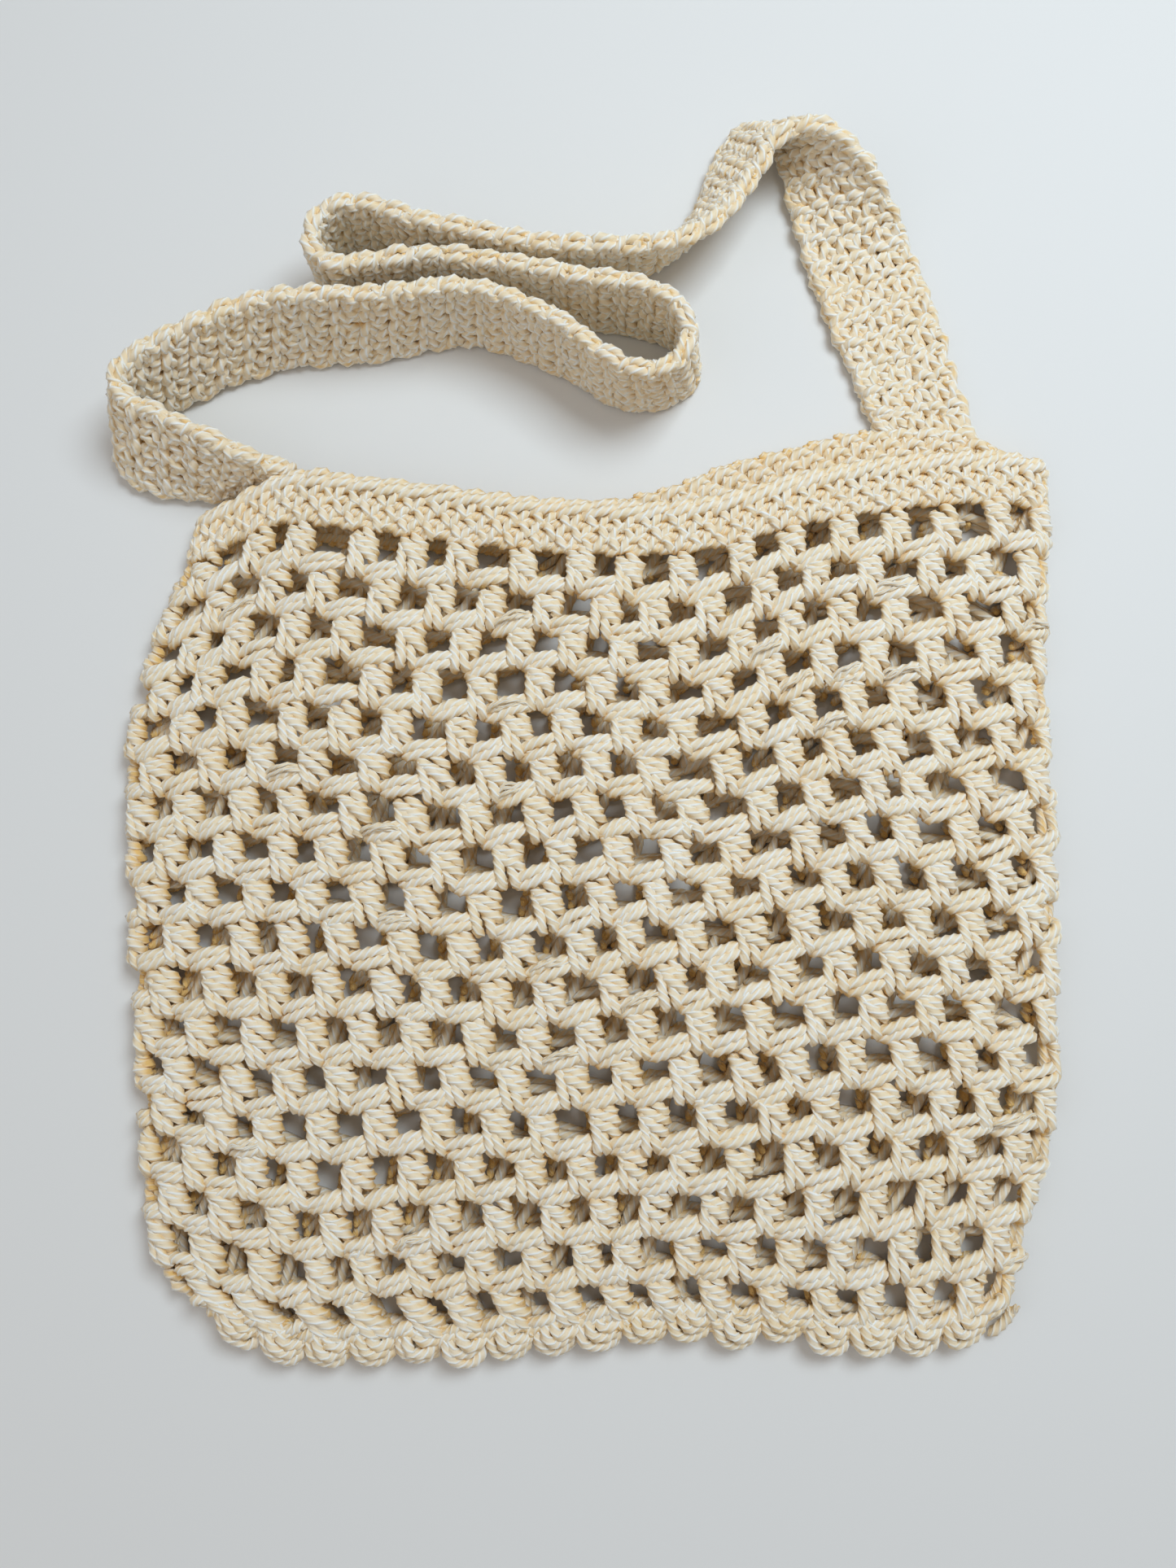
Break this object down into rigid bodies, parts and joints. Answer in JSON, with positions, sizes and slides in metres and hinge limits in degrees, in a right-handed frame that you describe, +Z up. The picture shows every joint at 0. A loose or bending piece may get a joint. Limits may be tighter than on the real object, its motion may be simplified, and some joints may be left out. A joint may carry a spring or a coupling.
{
  "type": "crochet shoulder bag",
  "caption": "Flat open-top crochet mesh shoulder bag with a solid rim band, a knobby bottom seam and a long solid strap folded above its mouth.",
  "frame": {"origin": "centre of the bag body's flat underside, on the surface that the bag lies on", "axes": "+Y from the bottom seam to the mouth and the strap, +X to the right of the bag seen from above, +Z up, out of the front panel"},
  "size_m": [0.2956, 0.3888, 0.0305],
  "materials": {
    "cream_yarn": "matt four-ply acrylic yarn, pale butter cream"
  },
  "bodies": {
    "root": {"mesh_body": "cream_yarn", "rim_band": "cream_yarn", "bottom_seam": "cream_yarn", "strap": "cream_yarn", "yarn_tail": "cream_yarn"}
  },
  "joints": []
}
